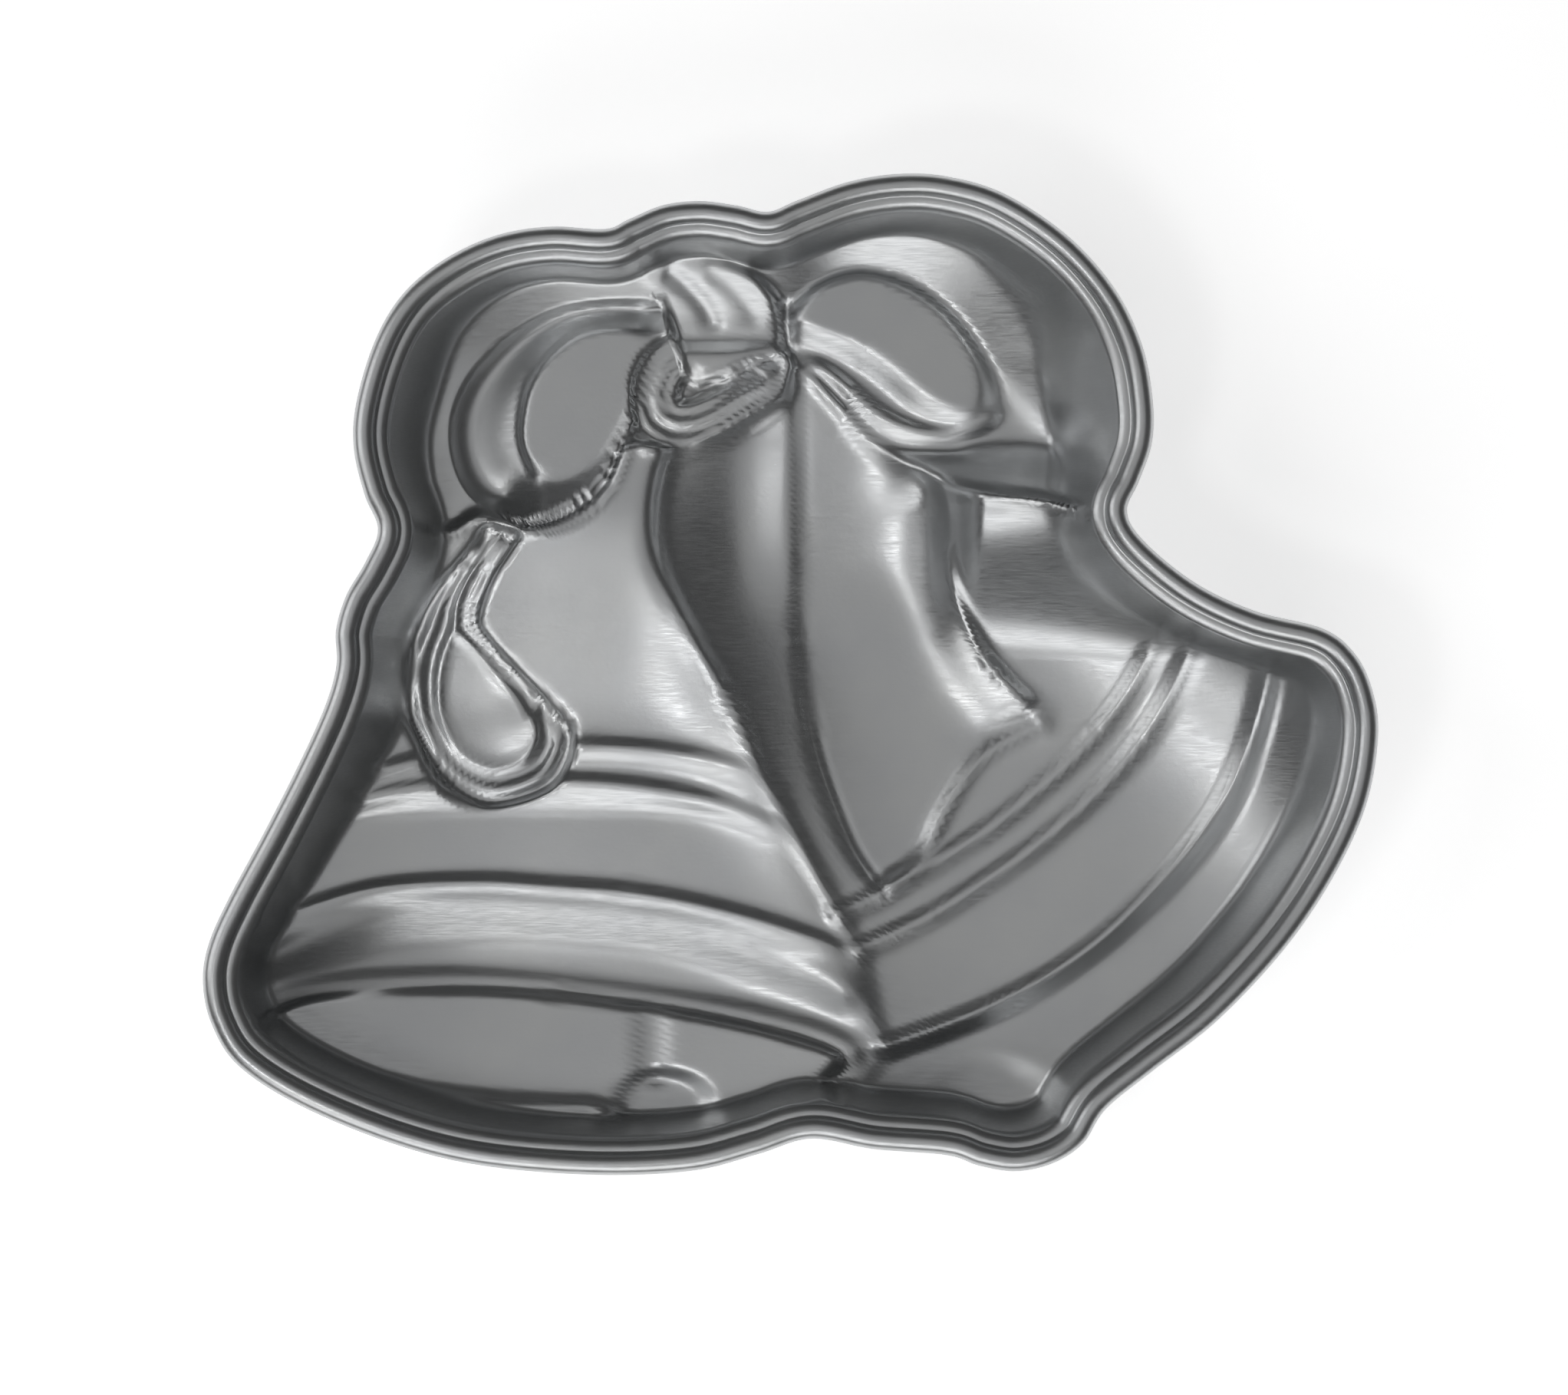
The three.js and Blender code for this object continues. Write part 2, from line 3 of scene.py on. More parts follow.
import bmesh
import bpy
import numpy as np
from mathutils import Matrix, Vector


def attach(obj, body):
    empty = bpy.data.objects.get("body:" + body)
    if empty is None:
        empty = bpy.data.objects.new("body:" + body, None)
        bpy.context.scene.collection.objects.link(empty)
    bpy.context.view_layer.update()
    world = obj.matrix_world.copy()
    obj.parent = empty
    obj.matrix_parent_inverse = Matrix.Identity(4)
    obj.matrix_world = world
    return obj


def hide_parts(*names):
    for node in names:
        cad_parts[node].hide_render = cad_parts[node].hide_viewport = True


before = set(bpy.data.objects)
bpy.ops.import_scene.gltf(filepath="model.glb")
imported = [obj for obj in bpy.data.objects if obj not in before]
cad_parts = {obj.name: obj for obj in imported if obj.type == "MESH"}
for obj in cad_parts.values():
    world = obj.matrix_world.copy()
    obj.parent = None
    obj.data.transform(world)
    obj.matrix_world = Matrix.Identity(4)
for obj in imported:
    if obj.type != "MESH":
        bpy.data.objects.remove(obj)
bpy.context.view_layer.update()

bl_info = {
    "name": "Two-bells cake pan",
    "version": (1, 0, 0),
    "blender": (4, 5, 0),
    "location": "3D View > Sidebar > Cake pan",
    "description": "Builds a pressed aluminium cake pan shaped as two bells under a bow",
    "category": "Add Mesh",
}

# All heights and plan points of the pressing are in millimetres: x to the right, y towards the
# bow, z up out of the cavity. MM turns them into the frame's metres at the end.
MM = 0.001

# Heights
RIM_TOP = 50.0
LEDGE_Z = 46.6
SHEET = 1.2
# The relief is lowered by this much, and what falls below the floor is cut off flat
FLOOR_DROP = 1.6
FLOOR_ROUNDING = 0.9
LEFT_HOLE_Z = 16.2
LEFT_FOLD_Z = 14.4
RIGHT_HOLE_Z = 13.0
RIGHT_FOLD_Z = 9.6
KNOT_Z = 11
CURL_Z = 13.2

# The rolled rim in section: distances run in from the outline
BEAD_R = 2.7
BEAD_SHEET = 1.0
LEDGE_IN = 8.2
CURL_START = -15
CURL_END = 290
SLOT_EDGE_IN = 4.75
LEDGE_CORNER = (5.95, LEDGE_Z + 0.03)
WIRE_R = 1.3

# How finely the sheet is divided
GRID = 180
GRID_CENTRE = (-5.7, 5.1)
OUTER_ARC_STEPS = 14
INNER_ARC_STEPS = 8
LINE_STEPS = 6
OUTLINE_STEPS = 32
# Distances beyond this count as far off
FAR_OFF = 50

# Outline, counter-clockwise: x, y, and the width of the wall's foot there
OUTLINE = [
    (-45.2, 108.1, 3), (-58, 108.7, 3), (-70, 107, 3.5), (-81, 102.6, 5), (-91, 95.7, 7),
    (-97.8, 87.5, 11), (-102.7, 76.8, 13), (-106, 64, 13), (-106.2, 54, 12), (-103.6, 43.2, 9),
    (-100.4, 35, 7), (-103.5, 27, 9), (-108.1, 19, 11), (-110.6, 10.5, 12), (-110.5, 2, 12),
    (-113.2, -7.8, 11), (-119.5, -21.8, 9), (-127.9, -38.3, 8), (-136.7, -54.7, 7),
    (-141.6, -65.8, 6), (-143, -75, 5.5), (-141, -85, 5), (-134.6, -95.2, 5), (-120, -104.8, 5),
    (-98, -114, 5), (-76, -119.6, 5), (-48, -122, 5), (-24, -121, 5), (-8, -117, 5),
    (5, -113.2, 5), (20, -115.7, 5), (38, -117.2, 5), (46, -119.8, 5), (55, -121.1, 5),
    (64, -119.1, 5), (71.3, -114.2, 5.5), (76.7, -106, 6), (88, -96.8, 6), (104, -84.3, 7),
    (120.2, -67, 7.5), (132, -49.6, 8), (140, -32.2, 8.5), (143, -15, 8.5), (141.4, -3.4, 8),
    (137, 5.2, 7), (129.3, 11, 5), (113, 15.2, 4), (98.4, 22.1, 5), (86, 32.2, 7),
    (81.9, 39.4, 11), (84.8, 46.7, 16), (87.9, 55.8, 19.5), (88.2, 66, 21), (85.6, 79.8, 19.5),
    (78.9, 93.6, 16), (67.4, 106.5, 12), (52, 116.7, 7.5), (38, 120.9, 5.5), (26, 121.5, 4.5),
    (13.8, 119.5, 4), (1.5, 115, 4), (-5.5, 112.3, 4), (-13, 113.8, 4), (-22, 114.9, 4),
    (-31, 113.9, 4), (-39.3, 110.5, 3.5),
]

# Lines of the pressed pattern, in plan
BELL_CREASE = [
    (-29, 57), (-31.5, 50), (-33, 42), (-33.2, 34), (-31.8, 26), (-28.5, 18), (-24, 9), (-19, 0),
    (-14.5, -8), (-11, -16), (-7.5, -24), (-1, -36), (6, -49), (12.5, -61), (16.5, -70),
    (18.8, -78), (20.5, -86), (23, -93), (18, -101), (10, -107), (4, -112),
]
CENTRE_CREASE = [
    (1.2, 77), (1.6, 60), (2, 40), (2.4, 20), (3, 4), (4.2, -9), (6.8, -21), (10.5, -32),
    (15, -43), (19.5, -50), (22.5, -53.5),
]
RIBBON_EDGE = [
    (34, 49), (38, 44), (38.7, 36), (38.8, 27), (40.5, 19), (44, 10.5), (48.5, 3), (55, -4.5),
    (62.5, -12),
]
RIBBON_END = [
    (62.5, -12), (56, -15.5), (50, -19), (45, -24), (41, -30), (37.5, -36), (34.5, -43),
    (30, -48.5), (25, -52), (22.5, -53.5),
]
BOW_EDGE = [
    (-112, 34), (-100, 33.5), (-92, 34.2), (-84, 36.2), (-77.5, 39.8), (-72, 38), (-65, 36.3),
    (-57, 38.2), (-50, 42.3), (-45, 48), (-42, 55), (-39.5, 58.5), (-34, 56.8), (-28, 56),
    (-20, 58), (-10, 63.3), (-3, 68.5), (1, 76), (6, 74.3), (10.5, 69.5), (15, 64.5),
    (20, 58.5), (26, 53.5), (33, 49.6), (42, 46.3), (52, 44.8), (62, 43.6), (72, 41), (90, 38),
    (100, 60), (95, 130), (0, 130), (-120, 125), (-125, 60),
]
LEFT_CREASE = [
    (-25, 93), (-33, 93.4), (-40, 93.6), (-48, 93.3), (-56, 92), (-63, 89.3), (-70, 85),
    (-76.5, 79), (-81.5, 72.5), (-84.5, 65), (-85, 57), (-83, 49), (-79, 43), (-73, 39.5),
    (-65, 37.5), (-57, 39.5), (-50.5, 43.5), (-45.5, 49), (-42.5, 56), (-38, 63), (-32, 70),
    (-25, 80),
]
LEFT_RIDGE = [
    (-31, 83), (-36, 85.3), (-43.5, 86.2), (-52, 84.8), (-59.3, 79.6), (-64.5, 72.5),
    (-66.6, 65.3), (-67, 58), (-64.6, 51.6), (-60.5, 48), (-55, 48.6), (-50, 52.2),
    (-46, 57.5), (-42.5, 64), (-40, 70), (-37, 77),
]
RIGHT_RIDGE = [
    (-0.5, 87.5), (4.5, 94.5), (12, 98.7), (20.1, 99.4), (30.3, 96.2), (39.5, 89.3),
    (46.4, 80.3), (49.8, 72.3), (49.3, 65.8), (45, 62.8), (39, 63.4), (31.6, 67.2),
    (23.5, 74), (14.5, 80), (5, 83.8),
]
TAIL = [
    (-74.8, 37), (-79.7, 31), (-86.2, 23.6), (-91.9, 15.4), (-95.2, 8), (-96.6, 1.5),
    (-96.4, -5), (-95.2, -11.6), (-92.3, -18.1), (-88.6, -24.6), (-83.8, -29.5), (-76.4, -32.8),
    (-68.3, -32), (-60.1, -28.7), (-56.2, -23.8), (-54.2, -18.1), (-55, -13.4), (-61.7, -5.8),
    (-69.9, 2.8), (-75.6, 9.3), (-77.6, 13), (-76.8, 17.9), (-74, 24.4), (-69.9, 31),
    (-67.5, 35),
]
TAIL_FOLD = [
    (-71, 36), (-75, 30.8), (-79.7, 24.4), (-82.8, 17.5), (-83.6, 10.8), (-86.2, 4),
    (-87.4, -3.4), (-87, -9.9), (-84.6, -16.4), (-80.5, -21), (-74.8, -23.4), (-69.1, -22.6),
    (-65, -19.7), (-63, -15.6), (-63.8, -11.5), (-67.5, -6.6), (-73.2, -0.1), (-78, 5.6),
    (-83.4, 10.8),
]
# From this point on the fold runs round the drop
TAIL_DROP = 4
LEFT_BANDS = [
    [
        (-118, -33), (-106, -25.5), (-92, -21.5), (-75, -19.5), (-54, -18), (-40, -18.4),
        (-28, -19.8), (-18, -21.8), (-9, -24.5),
    ],
    [
        (-121, -38), (-110, -32.5), (-96, -28.5), (-75, -26.5), (-54, -26.8), (-40, -27.8),
        (-28, -29.8), (-16, -33), (-2, -38),
    ],
]
LEFT_FLARE = [
    (-130, -62), (-118, -57.5), (-105, -53.8), (-92, -52.3), (-75, -52), (-60, -53),
    (-44, -54.2), (-30, -56.2), (-16, -59.3), (-3, -63), (10, -67.5), (17, -70.5),
]
MOUTH = [
    (-131.5, -88), (-127.5, -83), (-120, -80.3), (-108, -78.9), (-94, -78.3), (-78, -78.2),
    (-62, -79.2), (-46, -81), (-30, -83.3), (-14, -86.3), (0, -89.7), (10, -93), (13.5, -96),
    (10, -101), (2, -106), (-6, -111), (-20, -118), (-50, -120), (-80, -118), (-100, -111),
    (-120, -102), (-130, -94),
]
NEAR_LIP = [
    (-124, -93), (-112, -99.8), (-100, -102.8), (-88, -105), (-72, -107), (-58, -107.8),
    (-48, -108.3), (-43.5, -111),
]
RIGHT_BANDS = [
    [
        (94, 24), (92, 13), (88.5, 4), (83.5, -5), (77, -13.5), (69, -22), (60, -30), (50, -38),
        (40, -44.5), (30, -50.5), (20, -56), (11, -60),
    ],
    [
        (101.5, 22), (100.3, 11), (97, 1), (92, -9), (85, -19.5), (77, -28.5), (68, -37),
        (58, -45), (47, -52.5), (36, -59.5), (26, -64.5), (17, -68.5),
    ],
]
RIGHT_FLARE = [
    (119, 18), (118.3, 6), (117, -5), (114, -17), (109.5, -28.5), (103, -39), (95, -49),
    (86, -58.3), (76, -67.3), (64, -75.5), (50, -82.8), (37, -88), (24, -92.5),
]

# The right bell's middle line, from its shoulder to its mouth, and its half widths
BELL_TOP = (5, 70)
BELL_MOUTH = (75, -75)
SHOULDER_HALF = 50
MOUTH_EXTRA = 28

# The knot, and the curl of ribbon under it with its ridges this far apart
KNOT = [
    (-37, 104), (-28, 104.5), (-18, 102.5), (-9, 99), (-3.5, 93), (-2.3, 86), (-2.8, 79.5),
    (-10, 76.5), (-19, 73), (-25.5, 73), (-27.5, 79), (-29.5, 86), (-32, 93), (-37, 98.5),
]
CURL = [
    (-30, 84), (-35.8, 79.5), (-39, 73), (-39.3, 66), (-37, 60.4), (-32, 56.9), (-26, 56),
    (-18, 58), (-8.5, 63.6), (0, 68.5), (0, 80), (-12, 84), (-24, 86),
]
CURL_PITCH = 4.2

# Folds of the ribbon: line, height and width
FOLDS = (
    ([(-32, 101), (-25.5, 96), (-21, 91), (-18.5, 85)], -0.8, 2.4),
    ([(-22, 100.5), (-15, 96.5), (-10, 91), (-8, 86)], -0.4, 2.6),
    ([(-1.5, 93.5), (-0.8, 89), (-0.6, 84), (-1, 79)], -1.5, 1.8),
    ([(-27, 75), (-22, 72), (-15, 73.5), (-8, 77), (-1, 79)], -1.5, 2.6),
    ([(2, 79), (8, 76), (14, 71.3), (21, 65.3), (28, 61.7), (36, 60), (44, 60.4), (50, 63.3),
      (53.5, 68)], 1.4, 1.8),
    ([(3, 75.5), (9, 71), (15, 65.5), (21, 59.5), (28, 56.4), (37, 55), (47, 55.8)], -1.0, 1.8),
)

# The plan grid's rows get closer towards the wall, and its lines gather at the creases
RING_SPREAD = 1.12
GATHER_PULL = 0.55
GATHER_REACH = 1.6
GATHER_FROM = 6
GATHERED = (
    (BELL_CREASE, False),
    (CENTRE_CREASE, False),
    (RIBBON_EDGE, False),
    (RIBBON_END, False),
    (LEFT_CREASE, True),
    (LEFT_RIDGE, True),
    (RIGHT_RIDGE, True),
    (TAIL, True),
    (TAIL_FOLD, False),
    (MOUTH, True),
    (BOW_EDGE, True),
    (LEFT_FLARE, False),
    (RIGHT_FLARE, False),
)

# The underside is at most this many sheet thicknesses below the top on a steep wall
MOST_DROP = 4.0
# Points of the sheet's edge closer than this become one
SEAM_REACH = 0.02
WIRE_SIDES = 12
WIRE_STEPS = 2 * GRID

# Finish of the metal, in millimetres
COOL_ALUMINIUM = "#B9BBBE"
FLOOR_GLOW = 0.62
CLOUD_MM = 26
GRAIN_MM = 0.35
GRAIN_STRETCH = 14
ROLLING_ANGLE = 20
PEBBLE_MM = 1.1

# The stage, in metres
FRAME_CENTRE = (-0.0016, -0.00565)
FRAME_WIDTH = 0.3808
CAMERA_HEIGHT = 1.6
SENSOR_WIDTH = 36.0
CAMERA_SEES = 20
FLOOR_HALF = 3.0
# name, azimuth and tilt in degrees, distance, width, height, radiance
SOFTBOXES = (
    ("softbox_top", 0, 0, 2.1, 1.9, 1.9, 0.36),
    ("softbox_front", -100, 50, 1.3, 1.1, 0.7, 1.8),
    ("softbox_left", 170, 48, 1.3, 0.7, 0.9, 1.45),
    ("softbox_key", -135, 24, 1.5, 0.24, 0.24, 8.0),
)


# ---- curves and blends ---------------------------------------------------------------------


def smooth_line(points, closed=False, steps=LINE_STEPS):
    """A smooth curve through the points, cut into short straight steps."""
    p = np.array(points, float)
    if closed:
        before, here, after, next_on = (np.roll(p, k, axis=0) for k in (1, 0, -1, -2))
    else:
        q = np.vstack([2 * p[0] - p[1], p, 2 * p[-1] - p[-2]])
        before, here, after, next_on = q[:-3], q[1:-2], q[2:-1], q[3:]
    t = np.linspace(0, 1, steps, endpoint=False)[None, :, None]
    a, b, c, d = (k[:, None, :] for k in (before, here, after, next_on))
    curve = b + 0.5 * (c - a) * t
    curve = curve + (a - 2.5 * b + 2 * c - 0.5 * d) * t**2
    curve = curve + 0.5 * (3 * b - a - 3 * c + d) * t**3
    curve = curve.reshape(-1, p.shape[1])
    return np.vstack([curve, curve[0] if closed else p[-1]])


def nearest(line, x, y, reach=1e9):
    """Distance to a line, side of it (positive on the right) and how far along it, 0 to 1."""
    best = np.full(x.shape, 1e9)
    side = np.zeros(x.shape)
    along = np.zeros(x.shape)
    low, high = line[:, :2].min(0) - reach, line[:, :2].max(0) + reach
    near = (x > low[0]) & (x < high[0]) & (y > low[1]) & (y < high[1])
    px, py = x[near], y[near]
    b2, s2, a2 = best[near], side[near], along[near]
    count = len(line) - 1
    for i in range(count):
        (ax, ay), (bx, by) = line[i, :2], line[i + 1, :2]
        dx, dy = bx - ax, by - ay
        t = np.clip(((px - ax) * dx + (py - ay) * dy) / (dx * dx + dy * dy + 1e-12), 0, 1)
        ex, ey = px - ax - t * dx, py - ay - t * dy
        d2 = ex * ex + ey * ey
        closer = d2 < b2
        b2 = np.where(closer, d2, b2)
        s2 = np.where(closer, np.sign(dy * ex - dx * ey), s2)
        a2 = np.where(closer, (i + t) / count, a2)
    best[near], side[near], along[near] = b2, s2, a2
    return np.sqrt(best), side, along


def across(line, x, y, reach=1e9):
    """Signed distance across a line, positive on its right."""
    distance, side, _ = nearest(line, x, y, reach)
    return distance * np.where(side == 0, 1, side)


def is_inside(line, x, y):
    """Whether points lie inside a closed line."""
    within = np.zeros(x.shape, bool)
    for (ax, ay), (bx, by) in zip(line[:-1, :2], line[1:, :2]):
        spans = (ay > y) != (by > y)
        within ^= spans & (x < (bx - ax) * (y - ay) / (by - ay + 1e-15) + ax)
    return within


def depth_inside(line, x, y):
    """Distance in from a closed line, negative outside it."""
    distance, _, _ = nearest(line, x, y)
    return np.where(is_inside(line, x, y), distance, -distance)


def ease(v):
    """0 up to 0, 1 from 1 on, and a smooth rise in between."""
    t = np.clip(v, 0, 1)
    return t * t * (3 - 2 * t)


def mix(a, b, t):
    """a where t is 0 and b where it is 1."""
    return a * (1 - t) + b * t


def bump(v, width):
    """A rounded hump, 1 high, that falls off on both sides of 0."""
    return np.exp(-((v / width) ** 2))


def ridge(v, height, before, after):
    """A ridge across a line, with its own width on each side."""
    return height * bump(v, np.where(v > 0, after, before))


def rounded_max(a, b, k):
    """The larger of two heights, with the corner between them rounded."""
    h = np.clip(0.5 + 0.5 * (a - b) / k, 0, 1)
    return mix(b, a, h) + k * h * (1 - h)


# ---- heights of the inside surface, region by region ---------------------------------------


def right_bell(x, y):
    """A trough along the bell's middle line, two bands, the flare and the clapper's tip."""
    (tx, ty), (mx, my) = BELL_TOP, BELL_MOUTH
    long = math.hypot(mx - tx, my - ty)
    ux, uy = (mx - tx) / long, (my - ty) / long
    along = (x - tx) * ux + (y - ty) * uy
    half = SHOULDER_HALF + MOUTH_EXTRA * ease((along - 55) / 100)
    off = ((y - ty) * ux - (x - tx) * uy) * SHOULDER_HALF / half
    z = 4.1 + 0.0011 * off**2 + np.where(off > 0, 1.6e-6, 0.7e-6) * off**4
    z = z + 7 * ease((y - 12) / 62) * bump(np.clip(x - 30, 0, None), 60)
    z = z - 1.3 * bump(np.hypot((x - 14) / 26, (y - 18) / 30), 1)
    z = z + 21 * ease((y - 3) / 38) * ease((x - 33) / 15)
    for points, height in zip(RIGHT_BANDS, (1.5, 1.6)):
        v = -across(smooth_line(points), x, y)
        z = z + ridge(v, height, 1.7, 2.6)
    past = -across(smooth_line(RIGHT_FLARE), x, y)
    z = z + ridge(past, 1.8, 1.7, 3.2) - 1.5 * ease(past / 5)
    z = z + mix(1.5, 6.0, ease((y + 50) / 40)) * ease((past - 3) / 19)
    z = z + 1.5 * ease((-92 - y) / 22) * ease((92 - x) / 30)
    tip = np.hypot((x - 50) / 19, (y + 106) / 12)
    return z - 2.2 * (1 - np.clip(tip, 0, 1) ** 2) ** 1.5 * ease((past - 2) / 4)


def centre_ribbon(z, x, y):
    """The ribbon down the right bell: lower than the bell, with a raised edge and a cut end."""
    crease, edge, end = (smooth_line(p) for p in (CENTRE_CREASE, RIBBON_EDGE, RIBBON_END))
    corners = np.array([(30.0, 60.0), (10.0, 80.0)])
    area = np.vstack([crease, end[::-1], edge[::-1], corners, crease[:1]])
    from_crease, from_edge, from_end = (nearest(k, x, y)[0] for k in (crease, edge, end))
    within = is_inside(area, x, y)
    raised = 3.2 * bump(from_edge, np.where(within, 9, 2.4)) * ease(from_end / 8)
    step = np.where(within, 1.1 * ease(from_crease / 2.2) * ease(from_end / 3), 0)
    folds = 1.0 * bump(from_end, 2.0) - 0.8 * bump(from_crease, 1.6)
    left_fold = 1.5 * bump(x + 12 - 0.25 * (y - 39) * ease((y - 39) / 40), 9)
    return z + raised - step + folds - left_fold * ease((y - 5) / 30) * ease((74 - y) / 16)


def mouth_plate(x, y):
    """The bell's open mouth: a plate with the near lip and the clapper's stem and ball in it."""
    z = 6.4 + 0.09 * (-79 - y) + 0.0008 * (x + 58) ** 2
    lip, _, along = nearest(smooth_line(NEAR_LIP), x, y)
    z = z + 2.0 * bump(lip, 2.0) * ease(along / 0.1) * ease((1 - along) / 0.04)
    stem = np.abs(x + 34.5)
    z = z - 1.0 * ease((4.8 - stem) / 3) * ease((y + 104) / 4) * ease((-81.5 - y) / 4)
    ball = np.hypot((x + 31.5) / 12.5, (y + 107) / 8.5)
    return z - 2.0 * ease((1.15 - ball) / 0.5)


def left_bell(x, y):
    """Shoulder, two bands, the flare and the rounded lip round the mouth."""
    z = 8.4 + 9 * ease((y + 15) / 58) + 0.0012 * np.clip(-62 - x, 0, None) ** 2
    z = z - 1.2 * ease((-30 - y) / 6)
    for points, height in zip(LEFT_BANDS, (1.5, 1.6)):
        z = z + ridge(across(smooth_line(points), x, y), height, 1.7, 3.2)
    past = across(smooth_line(LEFT_FLARE), x, y)
    z = z + ridge(past, 1.7, 1.8, 3.4) - 4.5 * ease((past - 1) / 17)
    ends = 0.0024 * np.clip(-78 - x, 0, None) ** 2 + 0.0016 * np.clip(x + 36, 0, None) ** 2
    z = z + ends * ease(past / 10)
    into = depth_inside(smooth_line(MOUTH, True), x, y)
    z = z + 1.5 * ease((6.5 + into) / 5) * ease(past / 8)
    return np.where(past > 4, mix(z, mouth_plate(x, y), ease((into + 0.3) / 2.0)), z)


def ribbon_tail(z, x, y):
    """The hooked tail of the ribbon beside the left bell, and the drop of bell inside it."""
    outer, fold = smooth_line(TAIL, True), smooth_line(TAIL_FOLD)
    drop = smooth_line(TAIL_FOLD[TAIL_DROP:], True)
    into = depth_inside(outer, x, y)
    from_fold = nearest(fold, x, y)[0]
    t = np.clip(into, 0, None) / (np.clip(into, 0, None) + from_fold + 1e-6)
    band = 1.9 * ease((t - 0.1) / 0.32) - 1.4 * ease((t - 0.46) / 0.2)
    band = band + 1.4 * ease((t - 0.7) / 0.28)
    lit = np.hypot((x + 64) / 9, (y + 12) / 9)
    plain = 1.7 - 0.5 * ease(from_fold / 1.8) + 1.5 * bump(lit, 1)
    shaped = np.where(is_inside(drop, x, y), plain, band)
    low = 5.0 + 8 * ease((y + 12) / 50) + 0.0012 * np.clip(-72 - x, 0, None) ** 2
    return mix(z, low + shaped, ease((into + 1.0) / 2.2))


def facing(x, y, centre, way):
    """How far round towards a direction a point lies from a centre, -1 to 1."""
    dx, dy = x - centre[0], y - centre[1]
    return (dx * way[0] + dy * way[1]) / (np.hypot(dx, dy) + 1e-6)


def hole_step(line, x, y, gentle):
    """Share of the way up to a raised hole: sharp on one side, a soft ramp on the other."""
    s = depth_inside(line, x, y)
    return ease(0.5 + s / mix(2.2, 8.0, gentle)), np.abs(s)


def left_loop(x, y):
    """An outer fold, a step at the crease, a trough of ribbon, and the raised hole."""
    crease, hole = smooth_line(LEFT_CREASE, True), smooth_line(LEFT_RIDGE, True)
    from_crease = nearest(crease, x, y)[0]
    gentle = ease((facing(x, y, (-53, 66), (0.8, -0.6)) + 0.1) / 0.45)
    step, from_hole = hole_step(hole, x, y, gentle)
    t = from_crease / (from_crease + from_hole + 1e-9)
    tube = LEFT_FOLD_Z - 2.2 * (1 - np.exp(-((from_crease / 2.0) ** 1.6)))
    tube = tube - 1.2 * ease(t / 0.36) + 2.9 * ease((t - 0.3) / 0.75)
    tube = mix(tube, LEFT_HOLE_Z + 0.42 * np.clip(from_hole, 0, 9), gentle)
    tube = np.where(is_inside(hole, x, y), mix(13.9, LEFT_HOLE_Z, gentle), tube)
    outer = LEFT_FOLD_Z + 0.34 * np.clip(from_crease, 0, 18) * ease((y - 60) / 30)
    inner = mix(tube, LEFT_HOLE_Z, step)
    return np.where(is_inside(crease, x, y), inner, outer)


def right_loop(x, y):
    """A trough that rises outwards, and the raised hole: steep above, a gentle ramp below."""
    gentle = ease((facing(x, y, (27, 82), (-0.35, -0.94)) + 0.3) / 0.6)
    step, from_hole = hole_step(smooth_line(RIGHT_RIDGE, True), x, y, gentle)
    rise = 0.5 * mix(1, 0.12, gentle)
    band = RIGHT_FOLD_Z + rise * np.clip(from_hole - 1.5, 0, 14)
    band = band + 10 * ease((59 - y) / 17) * ease((x - 22) / 14)
    return mix(band, RIGHT_HOLE_Z, step)


def stroke(points, height, width, x, y):
    """A narrow ridge, or a groove if the height is negative, that fades out at both ends."""
    line = smooth_line(points)
    distance, _, along = nearest(line, x, y, 4 * width)
    fade = ease(along / 0.12) * ease((1 - along) / 0.12)
    shape = bump(np.minimum(distance, FAR_OFF), width)
    return height * shape * np.where(distance < FAR_OFF, fade, 0)


def bow(z, x, y):
    """Two loops, the knot between them and the curl of ribbon under it."""
    into = depth_inside(smooth_line(BOW_EDGE, True), x, y)
    loops = mix(left_loop(x, y), right_loop(x, y), ease((x + 26) / 16))
    tied_area = depth_inside(smooth_line(KNOT, True), x, y)
    knot_z = KNOT_Z + 7 * ease((y - 82) / 24) + 2.0 * ease((84 - y) / 5)
    tied = mix(loops, knot_z, ease((tied_area + 1.4) / 2.8))
    curl = depth_inside(smooth_line(CURL, True), x, y)
    rings = CURL_Z - 0.55 * np.cos(2 * math.pi * curl / CURL_PITCH) * ease((82 - y) / 9)
    rings = rings - 2.2 * ease((curl - 9) / 4)
    tied = mix(tied, rings, ease((curl + 0.6) / 1.6) * ease((0.8 - tied_area) / 1.6))
    for points, height, width in FOLDS:
        tied = tied + stroke(points, height, width, x, y)
    return mix(z, tied, ease((into + 1.2) / 2.8)) + 1.0 * bump(into + 0.8, 1.7)


def bells(x, y):
    """Both bells, joined along the crease where one lies over the other."""
    right = centre_ribbon(right_bell(x, y), x, y)
    crease = smooth_line(BELL_CREASE)
    corners = np.array([(-20.0, -135.0), (-160.0, -135.0), (-160.0, 60.0)])
    area = np.vstack([crease, corners, crease[:1]])
    from_crease = nearest(crease, x, y)[0]
    reach = 1.6 + 4.4 * ease((42 - y) / 60) - 2.5 * ease((-45 - y) / 25)
    joined = mix(left_bell(x, y), right, np.exp(-((from_crease / reach) ** 1.25)))
    z = np.where(is_inside(area, x, y), joined, right)
    return z + 0.8 * bump(from_crease, 1.9) * ease((y + 112) / 8)


def wall_share(x, y):
    """How much of the height at a point is side wall: 1 at the ledge, 0 from the foot inwards."""
    distance = nearest(smooth_line(OUTLINE, True), x, y)[0]
    share = total = 0
    for px, py, foot_there in OUTLINE:
        weight = 1 / ((x - px) ** 2 + (y - py) ** 2 + 30) ** 2
        share, total = share + weight * foot_there, total + weight
    foot = share / total
    t = np.clip((distance - LEDGE_IN) / foot, 0, 1)
    return (1 - t) ** mix(2.8, 1.35, ease((foot - 13) / 6))


